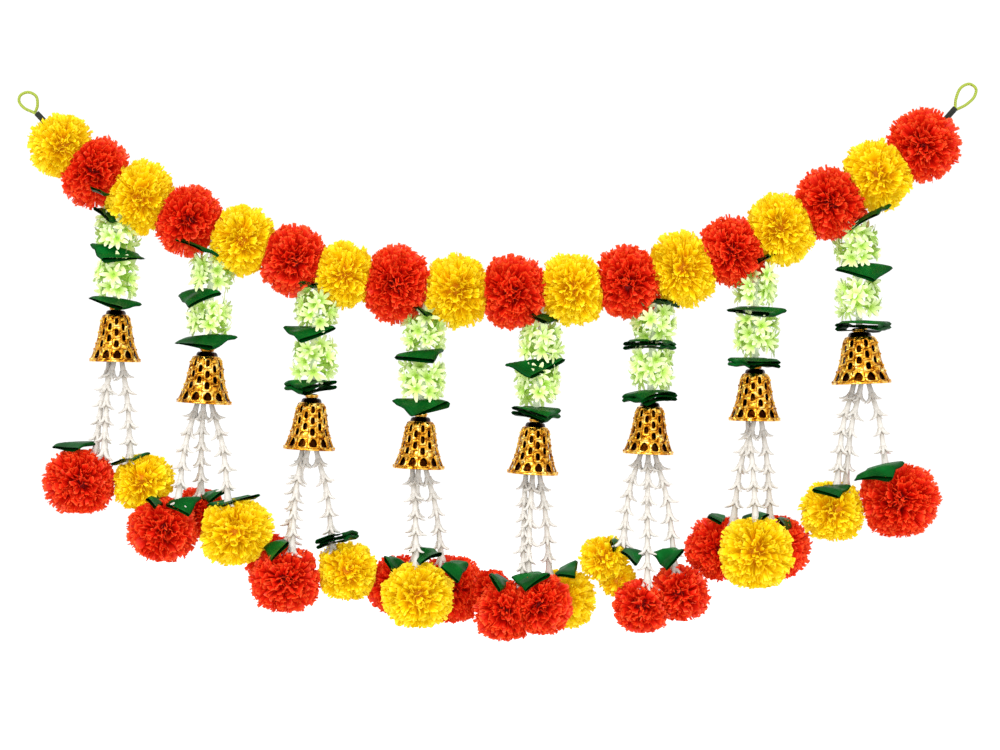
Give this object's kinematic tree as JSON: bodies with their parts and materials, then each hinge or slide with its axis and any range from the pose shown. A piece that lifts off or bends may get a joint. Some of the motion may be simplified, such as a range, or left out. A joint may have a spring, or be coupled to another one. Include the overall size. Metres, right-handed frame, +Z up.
{
  "type": "marigold garland",
  "caption": "Hanging door garland: a sagging row of pompom marigolds with drops of star flowers, folded ribbon, openwork bells and jasmine strings that end in blooms.",
  "frame": {"origin": "centre of the whole garland's box, as it hangs flat on a wall by its two eyes", "axes": "+X to the right along the row of blooms, +Y away from the viewer, +Z up"},
  "size_m": [0.9598, 0.1095, 0.5582],
  "materials": {
    "red_petals": "satin",
    "yellow_petals": "satin",
    "star_flowers": "matte",
    "green_ribbon": "satin",
    "gold_plastic": "polished",
    "jasmine": "matte",
    "straw": "satin",
    "loop_cord": "satin",
    "whipping": "satin"
  },
  "bodies": {
    "root": {"main_cord": "loop_cord", "top_bloom_01": "yellow_petals", "top_bloom_02": "red_petals", "top_bloom_03": "yellow_petals", "top_bloom_04": "red_petals", "top_bloom_05": "yellow_petals", "top_bloom_06": "red_petals", "top_bloom_07": "yellow_petals", "top_bloom_08": "red_petals", "top_bloom_09": "yellow_petals", "top_bloom_10": "red_petals", "top_bloom_11": "yellow_petals", "top_bloom_12": "red_petals", "top_bloom_13": "yellow_petals", "top_bloom_14": "red_petals", "top_bloom_15": "yellow_petals", "top_bloom_16": "red_petals", "top_bloom_17": "yellow_petals", "top_bloom_18": "red_petals", "spray_1": "star_flowers", "bell_1": "gold_plastic", "jasmine_1": "jasmine", "bunch_red_1": "red_petals", "bunch_yellow_1": "yellow_petals", "spray_2": "star_flowers", "bell_2": "gold_plastic", "jasmine_2": "jasmine", "bunch_red_2": "red_petals", "bunch_yellow_2": "yellow_petals", "spray_3": "star_flowers", "bell_3": "gold_plastic", "jasmine_3": "jasmine", "bunch_red_3": "red_petals", "bunch_yellow_3": "yellow_petals", "spray_4": "star_flowers", "bell_4": "gold_plastic", "jasmine_4": "jasmine", "bunch_red_4": "red_petals", "bunch_yellow_4": "yellow_petals", "spray_5": "star_flowers", "bell_5": "gold_plastic", "jasmine_5": "jasmine", "bunch_red_5": "red_petals", "bunch_yellow_5": "yellow_petals", "spray_6": "star_flowers", "bell_6": "gold_plastic", "jasmine_6": "jasmine", "bunch_red_6": "red_petals", "bunch_yellow_6": "yellow_petals", "spray_7": "star_flowers", "bell_7": "gold_plastic", "jasmine_7": "jasmine", "bunch_red_7": "red_petals", "bunch_yellow_7": "yellow_petals", "spray_8": "star_flowers", "bell_8": "gold_plastic", "jasmine_8": "jasmine", "bunch_red_8": "red_petals", "bunch_yellow_8": "yellow_petals"}
  },
  "joints": []
}
